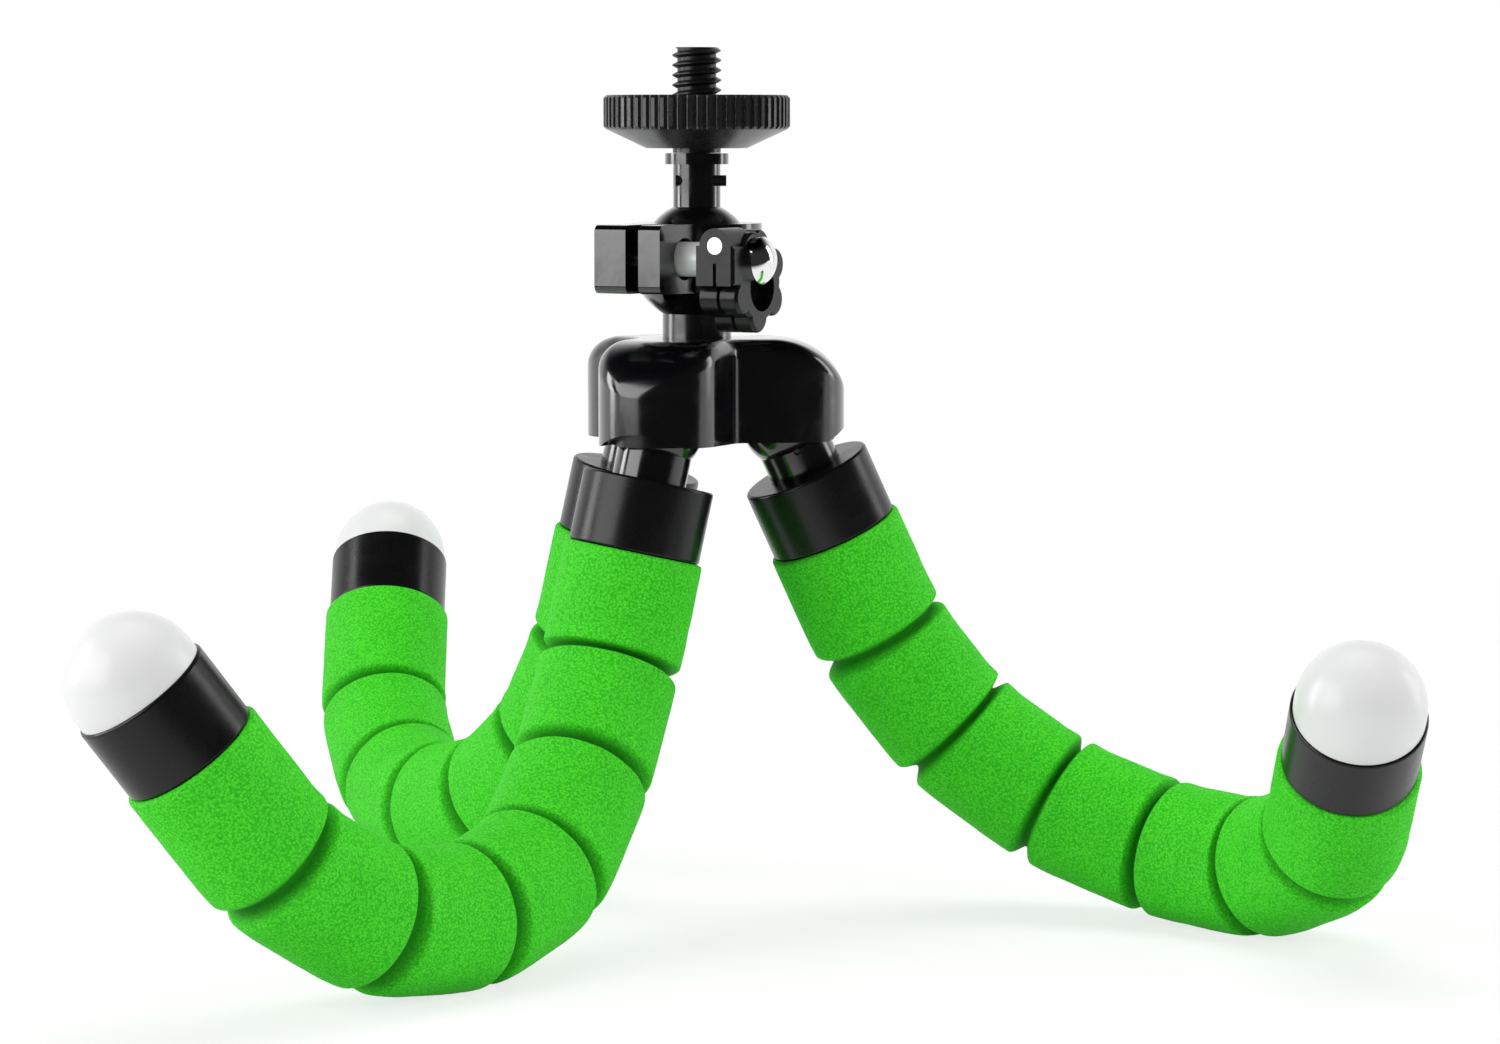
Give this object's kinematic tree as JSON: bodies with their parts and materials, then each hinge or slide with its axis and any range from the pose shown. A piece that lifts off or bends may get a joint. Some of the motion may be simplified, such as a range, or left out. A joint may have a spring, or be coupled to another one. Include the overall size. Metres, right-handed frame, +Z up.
{
  "type": "flexible leg tripod",
  "caption": "Small table tripod with bendable legs in grooved foam, a three-lobed hub and a ball head with a clamp knob and a camera stud.",
  "frame": {"origin": "on the floor, under the middle of the bounding box", "axes": "+Z up along the hub and the camera stud; +X towards the leg on the right; +Y away from the side the knob faces"},
  "size_m": [0.1601, 0.178, 0.1129],
  "materials": {
    "gloss_black": "glossy injection-moulded plastic",
    "satin_black": "satin moulded plastic",
    "chrome": "bright plating",
    "steel": "zinc plated",
    "black_steel": "blackened steel",
    "green_foam": "fine-pored foam, dull",
    "white_satin": "satin white plastic"
  },
  "bodies": {
    "hub": {"hub_shell": "gloss_black", "hub_base": "satin_black", "base_screws": "steel", "stem_screw": "steel", "ball_socket": "gloss_black", "clamp_nut": "steel"},
    "ball": {"ball_post": "gloss_black", "stud_pin": "steel"},
    "stud": {"camera_stud": "black_steel", "thumbwheel": "satin_black"},
    "clamp": {"clamp_screw": "chrome", "screw_sleeve": "chrome", "clamp_knob": "satin_black", "knob_pin": "chrome"},
    "right_link_1": {"right_neck": "gloss_black", "right_collar": "satin_black", "right_sleeve_1": "green_foam"},
    "right_link_2": {"right_sleeve_2": "green_foam"},
    "right_link_3": {"right_sleeve_3": "green_foam"},
    "right_link_4": {"right_sleeve_4": "green_foam"},
    "right_link_5": {"right_sleeve_5": "green_foam"},
    "right_link_6": {"right_sleeve_6": "green_foam"},
    "right_link_7": {"right_sleeve_7": "green_foam", "right_ring": "satin_black", "right_foot": "white_satin"},
    "back_link_1": {"back_neck": "gloss_black", "back_collar": "satin_black", "back_sleeve_1": "green_foam"},
    "back_link_2": {"back_sleeve_2": "green_foam"},
    "back_link_3": {"back_sleeve_3": "green_foam"},
    "back_link_4": {"back_sleeve_4": "green_foam"},
    "back_link_5": {"back_sleeve_5": "green_foam"},
    "back_link_6": {"back_sleeve_6": "green_foam"},
    "back_link_7": {"back_sleeve_7": "green_foam", "back_ring": "satin_black", "back_foot": "white_satin"},
    "front_link_1": {"front_neck": "gloss_black", "front_collar": "satin_black", "front_sleeve_1": "green_foam"},
    "front_link_2": {"front_sleeve_2": "green_foam"},
    "front_link_3": {"front_sleeve_3": "green_foam"},
    "front_link_4": {"front_sleeve_4": "green_foam"},
    "front_link_5": {"front_sleeve_5": "green_foam"},
    "front_link_6": {"front_sleeve_6": "green_foam"},
    "front_link_7": {"front_sleeve_7": "green_foam", "front_ring": "satin_black", "front_foot": "white_satin"}
  },
  "joints": [
    {"name": "ball_tilt", "type": "hinge", "parent": "hub", "child": "ball", "pos_m": [-0.00879, -0.00564, 0.0861], "axis": [0, 1, 0], "range_deg": [-24, 24]},
    {"name": "stud_spin", "type": "hinge", "parent": "ball", "child": "stud", "pos_m": [-0.00879, -0.00564, 0.10685], "axis": [0, 0, 1], "continuous": true},
    {"name": "knob_turn", "type": "hinge", "parent": "hub", "child": "clamp", "pos_m": [-0.00586, -0.01877, 0.0861], "axis": [0.866, -0.5, 0], "range_deg": [-360, 0]},
    {"name": "right_swing", "type": "hinge", "parent": "hub", "child": "right_link_1", "pos_m": [0.00254, -0.00445, 0.0645], "axis": [-0.2924, 0.9563, 0], "range_deg": [-1.5, 25]},
    {"name": "right_bend_1", "type": "hinge", "parent": "right_link_1", "child": "right_link_2", "pos_m": [0.01496, -0.00066, 0.03668], "axis": [0.0394, -0.9923, -0.1178], "range_deg": [-16.4, 10]},
    {"name": "right_bend_2", "type": "hinge", "parent": "right_link_2", "child": "right_link_3", "pos_m": [0.02475, 0.00125, 0.02392], "axis": [-0.4849, -0.7304, -0.481], "range_deg": [-26.1, 10]},
    {"name": "right_bend_3", "type": "hinge", "parent": "right_link_3", "child": "right_link_4", "pos_m": [0.03778, -0.00128, 0.01463], "axis": [-0.5153, -0.664, -0.5418], "range_deg": [-23.2, 10]},
    {"name": "right_bend_4", "type": "hinge", "parent": "right_link_4", "child": "right_link_5", "pos_m": [0.05166, -0.00776, 0.00936], "axis": [-0.5016, -0.5021, -0.7045], "range_deg": [-24.7, 10]},
    {"name": "right_bend_5", "type": "hinge", "parent": "right_link_5", "child": "right_link_6", "pos_m": [0.06386, -0.01836, 0.00823], "axis": [-0.5281, -0.5376, -0.6574], "range_deg": [-35.3, 10]},
    {"name": "right_bend_6", "type": "hinge", "parent": "right_link_6", "child": "right_link_7", "pos_m": [0.07077, -0.03192, 0.01377], "axis": [-0.6678, -0.5466, -0.5053], "range_deg": [-36.1, 10]},
    {"name": "back_swing", "type": "hinge", "parent": "hub", "child": "back_link_1", "pos_m": [-0.0155, 0.00358, 0.0645], "axis": [-0.309, -0.9511, 0], "range_deg": [-13.8, 12.7]},
    {"name": "back_bend_1", "type": "hinge", "parent": "back_link_1", "child": "back_link_2", "pos_m": [-0.02191, 0.00566, 0.03455], "axis": [0.8857, 0.436, -0.1594], "range_deg": [-25.8, 10]},
    {"name": "back_bend_2", "type": "hinge", "parent": "back_link_2", "child": "back_link_3", "pos_m": [-0.02763, 0.0123, 0.02092], "axis": [0.7946, 0.6059, -0.0385], "range_deg": [-25, 10]},
    {"name": "back_bend_3", "type": "hinge", "parent": "back_link_3", "child": "back_link_4", "pos_m": [-0.03593, 0.0226, 0.01157], "axis": [0.8373, 0.5189, -0.1721], "range_deg": [-26.4, 10]},
    {"name": "back_bend_4", "type": "hinge", "parent": "back_link_4", "child": "back_link_5", "pos_m": [-0.04478, 0.03573, 0.00814], "axis": [0.7941, 0.4199, -0.4394], "range_deg": [-23.1, 10]},
    {"name": "back_bend_5", "type": "hinge", "parent": "back_link_5", "child": "back_link_6", "pos_m": [-0.0516, 0.05033, 0.00977], "axis": [0.8422, 0.4296, -0.3259], "range_deg": [-29.7, 10]},
    {"name": "back_bend_6", "type": "hinge", "parent": "back_link_6", "child": "back_link_7", "pos_m": [-0.05523, 0.06376, 0.01808], "axis": [0.8231, 0.4428, -0.3556], "range_deg": [-25.9, 10]},
    {"name": "front_swing", "type": "hinge", "parent": "hub", "child": "front_link_1", "pos_m": [-0.01343, -0.01606, 0.0645], "axis": [0.3907, -0.9205, 0], "range_deg": [-13.6, 12.9]},
    {"name": "front_bend_1", "type": "hinge", "parent": "front_link_1", "child": "front_link_2", "pos_m": [-0.01975, -0.01874, 0.03458], "axis": [-0.9765, 0.0841, 0.1986], "range_deg": [-35.5, 10]},
    {"name": "front_bend_2", "type": "hinge", "parent": "front_link_2", "child": "front_link_3", "pos_m": [-0.02312, -0.02858, 0.02216], "axis": [-0.8148, 0.5413, -0.2075], "range_deg": [-12.4, 10]},
    {"name": "front_bend_3", "type": "hinge", "parent": "front_link_3", "child": "front_link_4", "pos_m": [-0.02789, -0.03983, 0.01152], "axis": [-0.8313, 0.5249, -0.1827], "range_deg": [-32.6, 10]},
    {"name": "front_bend_4", "type": "hinge", "parent": "front_link_4", "child": "front_link_5", "pos_m": [-0.0358, -0.05355, 0.00813], "axis": [-0.7024, 0.5242, -0.4815], "range_deg": [-23.6, 10]},
    {"name": "front_bend_5", "type": "hinge", "parent": "front_link_5", "child": "front_link_6", "pos_m": [-0.04616, -0.06589, 0.0098], "axis": [-0.7417, 0.5758, -0.3439], "range_deg": [-31, 10]},
    {"name": "front_bend_6", "type": "hinge", "parent": "front_link_6", "child": "front_link_7", "pos_m": [-0.05685, -0.07454, 0.01837], "axis": [-0.7422, 0.5734, -0.347], "range_deg": [-27, 10]}
  ]
}
